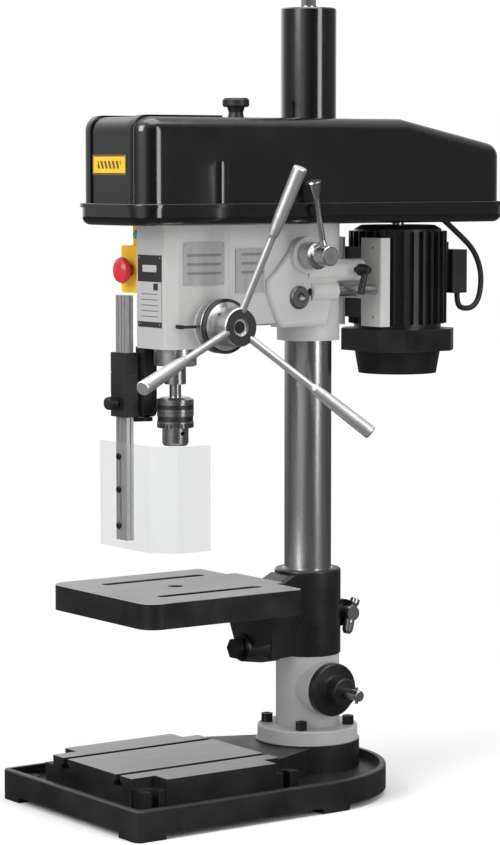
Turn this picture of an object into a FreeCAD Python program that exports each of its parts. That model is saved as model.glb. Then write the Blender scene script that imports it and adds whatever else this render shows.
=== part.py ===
"""Pillar drill press: every separate piece as its own solid, in millimetres, +Z up.

Origin: centre of the rectangle of the four bench bolts, on the bench; the spindle stands above it.
-Y is the operator's side, +X the feed-handle side.
"""
import FreeCAD, Part
import math
import os

V = FreeCAD.Vector
os.makedirs("parts", exist_ok=True)

X_AXIS = V(1, 0, 0)
Y_AXIS = V(0, 1, 0)
Z_AXIS = V(0, 0, 1)

# ---- driving dimensions -------------------------------------------------
run_gap = 0.05            # radial running clearance of shafts and slides
part_gap = 0.3            # gap between curved faces that only lie close

column_y = 238.0          # throat: spindle axis to column axis
column_r = 35.0
column_bore_r = 28.0
column_top = 1090.0

base_half = 182.0
base_front = -187.0
base_arc_y = 157.0
base_corner = 11.0
foot_h = 8.0
rim_top = 44.0
rim_w = 9.0
trough_z = 30.0
bed_top = 72.0
bed_half = 135.0
bed_front = -146.0
bed_back = 110.0
bed_slot_x = 70.0
bolt_x = 155.0
bolt_y = 157.0
bench_hole_r = 7.0

flange_r = 75.0
flange_top = 93.0
foot_tube_r = 47.5
foot_tube_top = 200.0
flange_bolt_off = 43.5
crank_z = 152.0

table_half = 131.6
table_front = -135.0
table_back = 133.0
tongue_half = 62.0
tongue_back = 149.5
table_top = 320.0
table_thick = 37.0
table_slot_x = 73.0
table_slot_w = 18.0
tilt_z = 218.0
tilt_r = 25.0
clamp_lug_half = 20.0
tilt_face_y = 150.0
collar_r = 49.4
collar_z0 = 201.5
collar_z1 = 329.0
liner_r = 38.0

head_z0 = 666.0
head_z1 = 843.0
head_half = 44.0
head_boss_r = 46.5
feed_y = 38.0
feed_z = 699.0
pinion_teeth = 14
pinion_module = 2.0

quill_r = 31.0
quill_z0 = 641.0
quill_z1 = 800.0

motor_y = 407.0
pulley_z0 = 858.0
step_h = 18.0
step_radii = [35.0, 43.0, 51.0, 59.0, 67.0]

cover_half = 85.0
cover_front = -110.0
cover_back = 547.0
cover_z0 = 868.0
cover_top = 996.0
cover_tail = 957.0
cover_slope_y = 357.0
pan_half = 90.0
cover_wall = 3.0
tube_r = 41.0
tube_top = 1158.0

tension_y = 196.0
tension_z = 797.0
rod_x = 45.0
rod_z = 743.0
arm_x = 41.0
arm_z = 774.0
arm_end = 303.0
clamp_lever_y = 291.0
rod_r = 8.0

pivot_x = -47.0
pivot_y = -19.0
rail_x = -60.0
rail_y = -48.0

clamp_y = 183.5
clamp_mid_z = 735.5
rod_front = 215.0


# ---- helpers --------------------------------------------------------------
def box(x0, x1, y0, y1, z0, z1):
    return Part.makeBox(x1 - x0, y1 - y0, z1 - z0, V(x0, y0, z0))


def cyl(r, start, length, axis=Z_AXIS):
    return Part.makeCylinder(r, length, start, axis)


def ring(r_out, r_in, start, length, axis=Z_AXIS):
    return cyl(r_out, start, length, axis).cut(cyl(r_in, start, length, axis))


def turned(profile, centre, axis=Z_AXIS):
    """Solid of revolution: profile is a closed list of (radius, height) along the axis."""
    pts = [V(r, 0, h) for r, h in profile]
    face = Part.Face(Part.makePolygon(pts + [pts[0]]))
    solid = face.revolve(V(0, 0, 0), Z_AXIS, 360)
    turn = FreeCAD.Rotation(Z_AXIS, axis)
    solid.Placement = FreeCAD.Placement(centre, turn)
    return Part.Solid(Part.Shell(solid.Faces)) if solid.ShapeType != "Solid" else solid


def prism(points, z0, z1):
    pts = [V(x, y, z0) for x, y in points]
    return Part.Face(Part.makePolygon(pts + [pts[0]])).extrude(V(0, 0, z1 - z0))


def side_prism(points, x0, x1):
    """Extrudes a list of (y, z) across X."""
    pts = [V(x0, y, z) for y, z in points]
    return Part.Face(Part.makePolygon(pts + [pts[0]])).extrude(V(x1 - x0, 0, 0))


def front_prism(points, y0, y1):
    """Outline given as (x, z), drawn out along Y."""
    pts = [V(x, y0, z) for x, z in points]
    return Part.Face(Part.makePolygon(pts + [pts[0]])).extrude(V(0, y1 - y0, 0))


def fuse(*shapes):
    return shapes[0].multiFuse(list(shapes[1:])).removeSplitter()


def group(shapes):
    return Part.makeCompound(shapes)


def rounded(shape, radius, keep):
    """Fillets the edges that keep(edge) picks; leaves the shape as it was if none is picked."""
    edges = [e for e in shape.Edges if keep(e)]
    return shape.makeFillet(radius, edges) if edges else shape


def upright(e):
    a, b = e.Vertexes[0].Point, e.Vertexes[-1].Point
    return abs(a.x - b.x) < 0.01 and abs(a.y - b.y) < 0.01 and abs(a.z - b.z) > 1.0


def at_height(e, z):
    box_ = e.BoundBox
    return abs(box_.ZMin - z) < 0.05 and abs(box_.ZMax - z) < 0.05


def save(name, shape):
    shape.exportStep("parts/%s.step" % name)


def turn_copies(shape, centre, axis, count, start=0.0):
    out = []
    for i in range(count):
        s = shape.copy()
        s.rotate(centre, axis, start + 360.0 * i / count)
        out.append(s)
    return out


def hexagon(across, start, length, axis=Z_AXIS):
    r = across / math.sqrt(3.0)
    pts = [V(r * math.cos(math.radians(60 * i)), r * math.sin(math.radians(60 * i)), 0) for i in range(6)]
    solid = Part.Face(Part.makePolygon(pts + [pts[0]])).extrude(V(0, 0, length))
    solid.Placement = FreeCAD.Placement(start, FreeCAD.Rotation(Z_AXIS, axis))
    return solid


column_axis = V(0, column_y, 0)


def on_column(z):
    return V(0, column_y, z)


# ---- base -------------------------------------------------------------------
def base_outline(inset, z0, z1):
    half = base_half - inset
    front = base_front + inset
    block = box(-half, half, front, base_arc_y, z0, z1)
    block = rounded(block, max(2.0, base_corner - inset),
                    lambda e: upright(e) and e.Vertexes[0].Point.y < front + 1)
    return fuse(block, cyl(half, V(0, base_arc_y, z0), z1 - z0))


def t_slot(x, y0, y1, top, neck_w, neck_h, head_w, head_h):
    neck = box(x - neck_w / 2, x + neck_w / 2, y0, y1, top - neck_h, top)
    head = box(x - head_w / 2, x + head_w / 2, y0, y1, top - neck_h - head_h, top - neck_h)
    return neck.fuse(head)


def base_casting():
    under = 12.0
    plate = base_outline(0, foot_h, rim_top)
    plate = plate.makeFillet(3.0, [e for e in plate.Edges if at_height(e, rim_top)])
    body = plate.cut(base_outline(rim_w, trough_z, rim_top))
    bed = box(-bed_half, bed_half, bed_front, bed_back, trough_z, bed_top)
    notch_x, notch_y, lug_top = 31.0, 40.0, 56.0
    for sx in (-1, 1):
        x = sx * (bed_half - notch_x / 2)
        bed = bed.cut(box(x - notch_x / 2, x + notch_x / 2, bed_front, bed_front + notch_y,
                          trough_z, bed_top))
        bed = bed.cut(box(x - notch_x / 2, x + notch_x / 2, bed_back - 28.0, bed_back,
                          trough_z, bed_top))
    rear = prism([(-104, bed_back - 2), (104, bed_back - 2), (62, 205), (-62, 205)], trough_z, bed_top - 3.0)
    lugs = []
    for sx in (-1, 1):
        for y0, y1 in ((bed_front + 4, bed_front + notch_y), (bed_back - 28, bed_back + 14)):
            x0, x1 = sorted((sx * (bed_half - notch_x), sx * (bed_half - 3)))
            lugs.append(box(x0, x1, y0, y1, trough_z, lug_top))
    seat = cyl(flange_r + 3.0, on_column(trough_z), bed_top - trough_z)
    feet = [box(sx * 158 - 24, sx * 158 + 24, y0, y0 + 48, 0, foot_h)
            for sx in (-1, 1) for y0 in (base_front, bolt_y - 24)]
    feet = group(feet).common(base_outline(0, 0, foot_h))
    pads = [cyl(16.0, V(sx * bolt_x, sy * bolt_y, foot_h), 28.0 - foot_h + 6.0)
            for sx in (-1, 1) for sy in (-1, 1)]
    inner = base_outline(under, foot_h, trough_z - 10.0)
    cellar = box(-bed_half + under, bed_half - under, bed_front + 44, bed_back - 32, foot_h, bed_top - 32)
    body = body.cut(inner).cut(cellar)
    spigot = cyl(column_bore_r - part_gap, on_column(bed_top), crank_z - 26.7 - bed_top)
    body = fuse(body, bed.cut(cellar), rear, seat, spigot, *(pads + feet.Solids + lugs))
    for sx in (-1, 1):
        for y in (bed_front + 22.0, bed_back - 7.0):
            x = sx * (bed_half - 12.0)
            slit = fuse(cyl(6.5, V(x, y, trough_z + 1), 40), box(*sorted((x, x + sx * 20.0)), y - 6.5, y + 6.5,
                                                                 trough_z + 1, lug_top + 5))
            body = body.cut(slit)
    for sx in (-1, 1):
        body = body.cut(t_slot(sx * bed_slot_x, bed_front - 1, bed_back + 1, bed_top, 12, 9, 22, 8))
        for sy in (-1, 1):
            body = body.cut(cyl(bench_hole_r, V(sx * bolt_x, sy * bolt_y, -1), 60))
            body = body.cut(cyl(5.0, V(sx * flange_bolt_off, column_y + sy * flange_bolt_off,
                                       bed_top - 24), 30))
    return body.cut(cyl(10.0 + run_gap, on_column(90), 60))


save("base_casting", base_casting())

crank_reach = 56.0
crank_boss_r = 41.0


def column_flange():
    centre = on_column(bed_top)
    body = fuse(cyl(flange_r, centre, flange_top - bed_top),
                cyl(foot_tube_r, centre, foot_tube_top - bed_top),
                cyl(crank_boss_r, V(20, column_y, crank_z), crank_reach - 20, X_AXIS))
    body = rounded(body, 2.5, lambda e: at_height(e, flange_top) and e.BoundBox.XLength > 140)
    body = body.cut(cyl(column_r + run_gap, centre, 200))
    body = body.cut(cyl(17.0 + run_gap, V(0, column_y, crank_z), 90, X_AXIS))
    for sx in (-1, 1):
        for sy in (-1, 1):
            body = body.cut(cyl(5.5, V(sx * flange_bolt_off, column_y + sy * flange_bolt_off,
                                       bed_top - 1), 40))
            body = body.cut(cyl(10.5, V(sx * flange_bolt_off, column_y + sy * flange_bolt_off,
                                        flange_top), 16))
    return body


save("column_flange", column_flange())


def socket_bolt(x, y, z, shank):
    head_r, head_h = 8.5, 13.0
    bolt = cyl(head_r, V(x, y, z), head_h).fuse(cyl(5.0, V(x, y, z - shank), shank))
    return bolt.cut(hexagon(8.0, V(x, y, z + head_h - 6.0), 7.0)).removeSplitter()


save("flange_bolts", group([socket_bolt(sx * flange_bolt_off, column_y + sy * flange_bolt_off,
                                        flange_top, 40.0) for sx in (-1, 1) for sy in (-1, 1)]))

column = ring(column_r, column_bore_r, on_column(bed_top), column_top - bed_top)
column = column.cut(cyl(18.0, V(10, column_y, crank_z), 40, X_AXIS))
save("column", column)


# ---- lifting gear -------------------------------------------------------------
crank_shaft_r = 8.0
mitre_teeth = 18
mitre_r = 18.0


def crank_flange():
    profile = [(crank_shaft_r + run_gap, 24.0), (17.0, 24.0), (17.0, crank_reach), (39.5, crank_reach),
               (39.5, 66.5), (37.5, 68.5), (24.0, 70.0), (21.0, 72.0), (21.0, 93.0), (19.0, 95.0),
               (crank_shaft_r + run_gap, 95.0)]
    return turned(profile, V(0, column_y, crank_z), X_AXIS)


save("crank_flange", crank_flange())


def mitre_gear(back, hub_back, hub_r, shaft_profile):
    """Bevel gear blank with straight tooth spaces, apex at the origin, opening along +Z."""
    tip, gap = 8.0, 0.25
    profile = [(0.0, tip), (tip - gap, tip), (mitre_r - gap, mitre_r), (mitre_r - gap - 1.0, back),
               (hub_r, back), (hub_r, hub_back)] + shaft_profile
    gear = turned(profile, V(0, 0, 0))
    space = prism([(-0.5, 0), (0.5, 0), (0.9, 2.0), (-0.9, 2.0)], 0, 26)
    space.rotate(V(0, 0, 0), X_AXIS, -45)
    space.translate(V(0, 3.3, 4.9))
    for cut in turn_copies(space, V(0, 0, 0), Z_AXIS, mitre_teeth):
        gear = gear.cut(cut)
    return gear


def crank_shaft():
    end = 130.0
    gear = mitre_gear(20.5, 23.5, 13.0, [(crank_shaft_r, 23.5), (crank_shaft_r, end - 1.5),
                                         (crank_shaft_r - 1.5, end), (0.0, end)])
    gear = gear.fuse(cyl(2.5, V(-12, 0, 121), 24, X_AXIS)).removeSplitter()
    gear.Placement = FreeCAD.Placement(V(0, column_y, crank_z), FreeCAD.Rotation(Z_AXIS, X_AXIS))
    return gear


save("crank_shaft", crank_shaft())

screw_pitch = 5.0
screw_r = 10.0


def lead_screw():
    top = 800.0
    thread_low = 200.0
    gear = mitre_gear(20.5, 26.0, 13.0, [(screw_r, 26.0), (screw_r, 60.0), (0.0, 60.0)])
    gear.rotate(V(0, 0, 0), X_AXIS, 180)
    gear.rotate(V(0, 0, 0), Z_AXIS, 180.0 / mitre_teeth)
    gear.translate(on_column(crank_z))
    profile = [(0.0, crank_z - 8.0), (7.0, crank_z - 8.0), (7.0, thread_low)]
    turns = int((top - thread_low) / screw_pitch)
    for i in range(turns):
        z = thread_low + i * screw_pitch
        profile += [(screw_r, z + 0.8), (screw_r, z + 2.4), (screw_r - 2.0, z + 3.2),
                    (screw_r - 2.0, z + screw_pitch)]
    profile += [(0.0, top)]
    return gear.fuse(turned(profile, column_axis)).removeSplitter()


save("lead_screw", lead_screw())

nut_low = 600.0


def lift_tube():
    outer = [(screw_r + 0.4, nut_low), (column_bore_r - part_gap, nut_low),
             (column_bore_r - part_gap, nut_low + 50), (21.0, nut_low + 54), (21.0, 1142.0),
             (30.0, 1144.0), (30.0, tube_top - 8.0), (0.0, tube_top - 8.0), (0.0, 1128.0),
             (14.0, 1128.0), (14.0, nut_low + 60), (screw_r + 0.4, nut_low + 54)]
    return turned(outer, column_axis)


save("lift_tube", lift_tube())

stud_r = 6.0
washer = ring(12.5, stud_r, on_column(tube_top), 3.0)
nut = hexagon(19.0, on_column(tube_top + 3.0), 10.0).cut(cyl(stud_r, on_column(tube_top), 20))
stud = cyl(stud_r, on_column(tube_top - 8.0), 31.0)
save("lift_stud", group([washer.fuse(nut).fuse(stud).removeSplitter()]))


# ---- table ------------------------------------------------------------------------
arm_liner = ring(liner_r - run_gap, column_r + run_gap, on_column(collar_z0), collar_z1 - collar_z0)
arm_liner = arm_liner.cut(box(-2, 2, column_y, column_y + 60, 100, 400))
save("arm_liner", arm_liner)

lug_y = column_y + 62.0
clamp_z = 258.0
neck_top = 322.0


def table_arm():
    height = collar_z1 - collar_z0
    collar = cyl(collar_r, on_column(collar_z0), height)
    collar = collar.makeFillet(4.0, [e for e in collar.Edges if at_height(e, collar_z1)])
    disc = cyl(tilt_r, V(0, tilt_face_y + part_gap, tilt_z), 26.0, Y_AXIS)
    throat = side_prism([(tilt_face_y + 2, tilt_z - 18), (186, collar_z0), (column_y, collar_z0),
                         (column_y, neck_top), (186, neck_top), (170, neck_top - 8), (160, neck_top - 24),
                         (158, tilt_z + 34), (tilt_face_y + 2, tilt_z + 34)], -27, 27)
    throat = rounded(throat, 5.0, lambda e: e.BoundBox.ZMin > neck_top - 26 and e.BoundBox.XLength < 0.1
                     and e.BoundBox.YMax < column_y)
    lugs = cyl(20.0, V(-clamp_lug_half, lug_y - 8, clamp_z), 2 * clamp_lug_half, X_AXIS)
    lugs = lugs.fuse(box(-clamp_lug_half, clamp_lug_half, column_y + 30, lug_y - 8, clamp_z - 20, clamp_z + 20))
    arm = fuse(collar, disc, throat, lugs)
    arm = arm.cut(cyl(liner_r, on_column(100), 400))
    arm = arm.cut(box(-2, 2, column_y + 20, lug_y + 30, 100, 400))
    arm = arm.cut(cyl(6.0 + run_gap, V(-60, lug_y - 4, clamp_z), 120, X_AXIS))
    return arm.cut(cyl(8.0 + run_gap, V(0, 100, tilt_z), 84, Y_AXIS))


save("table_arm", table_arm())


def bar(start, way, profile):
    """Turned bar with its foot at start, pointing along way."""
    solid = turned(profile, V(0, 0, 0))
    solid.Placement = FreeCAD.Placement(start, FreeCAD.Rotation(Z_AXIS, way))
    return solid


def arm_clamp_lever():
    shaft = cyl(6.0, V(-26, lug_y - 4, clamp_z), 50, X_AXIS)
    hub = cyl(11.0, V(clamp_lug_half + 0.5, lug_y - 4, clamp_z), 17, X_AXIS)
    centre = V(clamp_lug_half + 9.5, lug_y - 4, clamp_z)
    handle = bar(centre, V(0.1, 0.35, 0.93), [(0, 0), (6.0, 0), (6.5, 12), (8.0, 17), (7.0, 23), (0, 24)])
    tail = bar(centre, V(0.0, -0.2, -0.98), [(0, 0), (7.5, 0), (8.5, 14), (8.0, 26), (5.5, 31), (0, 32)])
    return fuse(shaft, hub, handle, tail)


save("arm_clamp_lever", arm_clamp_lever())


def table():
    z0 = table_top - table_thick
    slab = box(-table_half, table_half, table_front, table_back, z0, table_top)
    slab = rounded(slab, 26.0, lambda e: upright(e) and e.Vertexes[0].Point.y < 0)
    slab = rounded(slab, 9.0, lambda e: upright(e) and e.Vertexes[0].Point.y > table_back - 1)
    tongue = box(-tongue_half, tongue_half, table_back - 14, tongue_back, z0, table_top)
    slab = slab.fuse(rounded(tongue, 6.0, lambda e: upright(e) and e.Vertexes[0].Point.y > table_back + 1))
    slab = slab.removeSplitter()
    slab = slab.makeFillet(1.5, [e for e in slab.Edges if at_height(e, table_top)])
    pocket = box(-table_half + 12, table_half - 12, table_front + 12, table_back - 12, z0, table_top - 14)
    slab = slab.cut(rounded(pocket, 15.0, upright))
    boss = Part.makeCone(tilt_r - 5, tilt_r, tilt_face_y - 116, V(0, 116, tilt_z), Y_AXIS)
    web = front_prism([(-54, table_top - 10), (54, table_top - 10), (54, z0), (23, tilt_z + 2), (-23, tilt_z + 2),
                       (-54, z0)], 122, tongue_back)
    rib = box(-8, 8, table_front + 6, 118, z0 + 4, table_top - 10)
    cross = box(-table_half + 6, table_half - 6, 6, 18, z0 + 4, table_top - 10)
    centre = cyl(24.0, V(0, 0, z0 + 2), table_thick - 10)
    body = fuse(slab, boss, web, rib, cross, centre)
    slot_y0, slot_y1 = -70.0, 90.0
    for sx in (-1, 1):
        x = sx * table_slot_x
        slot = box(x - table_slot_w / 2, x + table_slot_w / 2, slot_y0, slot_y1, z0 - 1, table_top + 1)
        ends = [cyl(table_slot_w / 2, V(x, y, z0 - 1), table_thick + 2) for y in (slot_y0, slot_y1)]
        body = body.cut(slot.fuse(ends[0]).fuse(ends[1]))
    body = body.cut(cyl(11.0, V(0, 0, z0 - 10), table_thick + 20))
    return body.cut(cyl(8.0 + run_gap, V(0, 100, tilt_z), 80, Y_AXIS))


save("table", table())


def tilt_bolt():
    washer_y, end_y = 112.8, 174.0
    bolt = cyl(8.0, V(0, washer_y - 2, tilt_z), end_y - washer_y + 2, Y_AXIS)
    plate = cyl(18.0, V(0, washer_y, tilt_z), 3.0, Y_AXIS)
    head = hexagon(27.0, V(0, washer_y - 12, tilt_z), 12.0, Y_AXIS)
    return fuse(bolt, plate, head)


save("tilt_bolt", tilt_bolt())


# ---- head casting --------------------------------------------------------------------
middle_z = 699.0
cheek_x = 51.0
cheek_outline = [(130, 744), (130, 762), (146, 776), (166, 800), (182, 817), (198, 823), (214, 817), (236, 799),
                 (262, 791), (arm_end - 3, 788), (arm_end - 3, 760), (256, 757), (250, 742), (244, 712), (238, 692),
                 (156, 692), (146, 704)]


def head_casting():
    nose = prism([(-36, -43), (36, -43), (head_half, -24), (head_half, 66), (-head_half, 66),
                  (-head_half, -24)], head_z0, head_z1)
    nose = rounded(nose, 4.0, upright)
    web = box(-42, 42, 60, column_y, middle_z, head_z1)
    boss = cyl(head_boss_r, on_column(head_z0 + 4), head_z1 - head_z0 - 4)
    body = fuse(nose, web, boss)
    cheeks = []
    for sx in (-1, 1):
        side0, side1 = sorted((sx * 20.0, sx * cheek_x))
        cheek = side_prism(cheek_outline, side0, side1)
        cheeks.append(rounded(cheek, 7.0, lambda e: abs(abs(e.BoundBox.XMin) - cheek_x) < 0.1
                              and e.BoundBox.XLength < 0.1))
        cheeks.append(cyl(14.5, V(sx * rod_x, 206, rod_z), 46, Y_AXIS))
        cheeks.append(cyl(16.0, V(sx * arm_x, 200, arm_z), arm_end - 200, Y_AXIS))
        cheeks.append(cyl(27.0, V(sx * 30.0, tension_y, tension_z), 28, X_AXIS if sx > 0 else V(-1, 0, 0)))
    cheeks.append(cyl(36.0, V(40, feed_y, feed_z), 14, X_AXIS))
    body = fuse(body, *cheeks)
    body = body.cut(cyl(quill_r + run_gap, V(0, 0, 600), 205))
    body = body.cut(cyl(21.0, V(0, 0, 800), 60))
    body = body.cut(cyl(column_r + run_gap, on_column(600), 300))
    shaft_hole = cyl(9.0 + run_gap, V(-80, feed_y, feed_z), 160, X_AXIS)
    gear_room = cyl(17.5, V(-13.5, feed_y, feed_z), 27, X_AXIS)
    body = body.cut(shaft_hole).cut(gear_room)
    for sx in (-1, 1):
        body = body.cut(cyl(rod_r + run_gap, V(sx * rod_x, 200, rod_z), 90, Y_AXIS))
    body = body.cut(cyl(9.0 + run_gap, V(39, tension_y, tension_z), 40, X_AXIS))
    body = body.cut(cyl(6.0, V(10, clamp_y, clamp_mid_z), 60, X_AXIS))
    body = body.cut(cyl(5.0, V(42, clamp_lever_y, arm_z), 40, X_AXIS))
    hollow = box(-34, 34, 66, 150, 712, 833)
    return body.cut(rounded(hollow, 8.0, upright))


save("head_casting", head_casting())


# ---- belt cover ----------------------------------------------------------------------
def cover_block(half, front, back, z0, top, tail, corner, edge):
    pts = [(front, z0), (back, z0), (back, tail), (cover_slope_y, top), (front, top)]
    block = side_prism(pts, -half, half)
    block = rounded(block, corner, upright)
    return rounded(block, edge, lambda e: e.BoundBox.ZMin > tail - 1.0 and
                   not (abs(e.BoundBox.YMin - cover_slope_y) < 0.1 and e.BoundBox.YLength < 0.1))


def rim_plate(half, front, back, z0, z1, corner):
    return rounded(box(-half, half, front, back, z0, z1), corner, upright)


def belt_lid():
    w = cover_wall
    outer = cover_block(cover_half, cover_front, cover_back, cover_z0, cover_top, cover_tail, 30.0, 21.0)
    inner = cover_block(cover_half - w, cover_front + w, cover_back - w, cover_z0 - 1, cover_top - w,
                        cover_tail - w, 27.0, 18.0)
    rim = rim_plate(cover_half + 8.5, cover_front - 8.5, cover_back + 8.0, cover_z0, cover_z0 + 6.0, 36.0)
    rim = rounded(rim, 2.0, lambda e: at_height(e, cover_z0 + 6.0))
    grown = 2.5
    shell = cover_block(cover_half, cover_front - grown, cover_back - grown, cover_z0, cover_top + grown,
                        cover_tail + grown, 30.0, 22.0)
    ribs = []
    for sx in (-1, 1):
        x0, x1 = sorted((sx * 48.0, sx * 62.0))
        ribs.append(shell.common(box(x0, x1, cover_front - 5, cover_front + 150, cover_z0 + 2, cover_top + 5)))
        ribs.append(cyl(18.0, V(sx * (cover_half - 11.0), 23, cover_z0 + 3), 62))
    solid = fuse(outer, rim, *ribs)
    lid = solid.cut(inner)
    return lid.cut(cyl(tube_r + 0.6, on_column(800), 400))


save("belt_lid", belt_lid())


def belt_pan():
    w = cover_wall
    z0 = head_z1
    outer = rim_plate(pan_half, cover_front - 5, cover_back + 5, z0, cover_z0, 33.0)
    outer = rounded(outer, 12.0, lambda e: at_height(e, z0))
    inner = rim_plate(pan_half - w, cover_front - 5 + w, cover_back + 5 - w, z0 + w, cover_z0 + 1, 30.0)
    pan = outer.cut(rounded(inner, 9.0, lambda e: at_height(e, z0 + w)))
    pan = pan.cut(cyl(column_r + 1.0, on_column(z0 - 1), 10))
    pan = pan.cut(cyl(23.0, V(0, 0, z0 - 1), 10))
    pan = pan.cut(box(-24, 24, motor_y - 36, motor_y + 24, z0 - 1, z0 + 10))
    return pan.cut(box(22, 38, motor_y + 38, motor_y + 76, z0 - 1, z0 + 10))


save("belt_pan", belt_pan())

cover_tube = turned([(38.0, head_z1 + cover_wall), (tube_r, head_z1 + cover_wall), (tube_r, tube_top - 2),
                     (tube_r - 2, tube_top), (stud_r + 0.3, tube_top), (stud_r + 0.3, tube_top - 8),
                     (38.0, tube_top - 8)], column_axis)
save("cover_tube", cover_tube)

knob_y = 107.0
save("lid_knob", turned([(0, cover_top), (12, cover_top), (10.5, cover_top + 8), (13, cover_top + 16),
                         (17.5, cover_top + 16), (19.2, cover_top + 18), (19.2, cover_top + 26),
                         (16.5, cover_top + 29), (0, cover_top + 29)], V(0, knob_y, 0)))
badge = box(-44, 44, cover_front - 1.5, cover_front, 914, 943)
save("badge_plate", rounded(badge, 3.0, lambda e: e.BoundBox.YLength > 1.4 and e.BoundBox.XLength < 0.1))

plates = [box(-30, 30, -44.2, -43, 697, 800), box(head_half, head_half + 1.2, -16, 55, 757, 818),
          box(42, 43.2, 76, 127, 744, 808)]
save("label_plates", group(plates))


# ---- spindle and quill -----------------------------------------------------------------
def involute_gear(teeth, module, width, slack):
    pitch_r = module * teeth / 2.0
    base_r = pitch_r * math.cos(math.radians(20))
    tip_r = pitch_r + 0.85 * module
    root_r = pitch_r - 1.15 * module
    inv20 = math.tan(math.radians(20)) - math.radians(20)

    def half_angle(r):
        t = math.acos(min(1.0, base_r / r))
        return math.pi / (2 * teeth) + inv20 - (math.tan(t) - t) - slack / pitch_r

    radii = [root_r] + [base_r + (tip_r - base_r) * i / 6.0 for i in range(7)]
    pts = []
    for k in range(teeth):
        mid = 2 * math.pi * k / teeth
        flank = [(r, half_angle(max(r, base_r))) for r in radii]
        pts += [(r * math.cos(mid - a), r * math.sin(mid - a)) for r, a in flank]
        pts += [(r * math.cos(mid + a), r * math.sin(mid + a)) for r, a in reversed(flank)]
    return prism(pts, 0, width)


def quill():
    body = turned([(15.0, quill_z0), (quill_r, quill_z0), (quill_r, quill_z1), (20.0, quill_z1),
                   (20.0, 776), (17.0, 776), (17.0, 664), (20.0, 664), (20.0, 646), (15.0, 646)], V(0, 0, 0))
    pitch_y = feed_y - pinion_module * pinion_teeth / 2.0
    root_y = pitch_y - 1.25 * pinion_module
    body = body.cut(box(-13, 13, root_y, quill_r + 1, 655, quill_z1 + 1))
    teeth = []
    pitch = math.pi * pinion_module
    for k in range(-6, 16):
        z = feed_z + k * pitch
        lean = math.tan(math.radians(20))
        half = pitch / 4 - 0.12
        top, low = 0.75 * pinion_module, 1.25 * pinion_module
        pts = [(root_y - 0.2, z - half - low * lean), (pitch_y + top, z - half + top * lean),
               (pitch_y + top, z + half - top * lean), (root_y - 0.2, z + half + low * lean)]
        teeth.append(side_prism(pts, -12.4, 12.4))
    lug = box(quill_r - 4, quill_r + 9, -6, 6, quill_z0, quill_z0 + 8)
    return fuse(body, lug, *teeth)


save("quill", quill())
save("quill_bearings", group([ring(20.0, 12.0, V(0, 0, z), 16.0) for z in (647.0, 778.0)]))

nose_z = 614.0
spindle = turned([(8.0, nose_z), (15.5, nose_z), (15.5, quill_z0 - 0.5), (12.0, quill_z0 - 0.5), (12.0, 796),
                  (8.5, 800), (8.5, 969), (7.5, 970), (0, 970), (0, 660), (8.0, 652)], V(0, 0, 0))
save("spindle", spindle)
save("arbor", turned([(0, 566), (7.6, 566), (8.5, 595), (8.5, nose_z), (8.0, nose_z), (8.0, 652), (0, 652)],
                     V(0, 0, 0)))


def chuck_tilted(r, low, high):
    """Jaw bore: a cylinder leaning outwards as it rises, through radius 7 at the nose."""
    lean = math.radians(15)
    foot_z = 527.0
    foot_r = 7.0
    direction = V(math.sin(lean), 0, math.cos(lean))
    start = V(foot_r, 0, foot_z) + direction * (low - foot_z)
    return cyl(r, start, high - low, direction)


chuck_low = 525.0


def chuck_body():
    body = turned([(0, chuck_low), (16.5, chuck_low), (19.0, 529), (19.0, 578), (26.5, 578), (26.5, 592),
                   (20.0, 595), (8.6, 595), (7.7, 566), (0, 566)], V(0, 0, 0))
    body = body.cut(cyl(6.5, V(0, 0, chuck_low - 1), 36))
    for cut in turn_copies(chuck_tilted(4.1, 515, 553), V(0, 0, 0), Z_AXIS, 3):
        body = body.cut(cut)
    key = cyl(3.4, V(0, 0, 543), 22, Y_AXIS)
    for cut in turn_copies(key, V(0, 0, 0), Z_AXIS, 3, 30):
        body = body.cut(cut.cut(cyl(14.5, V(0, 0, 500), 80)))
    return body


save("chuck_body", chuck_body())


def chuck_sleeve():
    r_in = 19.0 + run_gap * 2
    body = turned([(r_in, 551), (25.5, 551), (26.5, 552), (26.5, 560), (25.7, 560.5), (25.7, 567.5),
                   (26.5, 568), (26.5, 577.8), (r_in, 577.8)], V(0, 0, 0))
    tooth_space = box(20.5, 30, -1.3, 1.3, 549, 557)
    for cut in turn_copies(tooth_space, V(0, 0, 0), Z_AXIS, 30):
        body = body.cut(cut)
    return body


save("chuck_sleeve", chuck_sleeve())
jaw = chuck_tilted(4.0, 528.5, 551).cut(cyl(5.0, V(0, 0, 500), 100))
for i, one in enumerate(turn_copies(jaw, V(0, 0, 0), Z_AXIS, 3)):
    save("chuck_jaw_%d" % (i + 1), one)


# ---- pulleys and belt --------------------------------------------------------------------
def pulley_profile(radii, bore, hub_low, hub_r):
    z = pulley_z0
    pts = [(bore, hub_low), (hub_r, hub_low), (hub_r, z)]
    for r in radii:
        pts += [(r + 3.0, z), (r + 3.0, z + 2.6), (r - 6.0, z + 5.2), (r - 6.0, z + 12.8),
                (r + 3.0, z + 15.4), (r + 3.0, z + step_h)]
        z += step_h
    return pts + [(bore, z)]


save("spindle_pulley", turned(pulley_profile(step_radii, 8.5 + run_gap, 806.0, 20.0), V(0, 0, 0)))
save("motor_pulley", turned(pulley_profile(step_radii[::-1], 9.5, 850.0, 20.0), V(0, motor_y, 0)))


def belt_loop(r, z0, z1):
    ends = cyl(r, V(0, 0, z0), z1 - z0).fuse(cyl(r, V(0, motor_y, z0), z1 - z0))
    return fuse(ends, box(-r, r, 0, motor_y, z0, z1))


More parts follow.
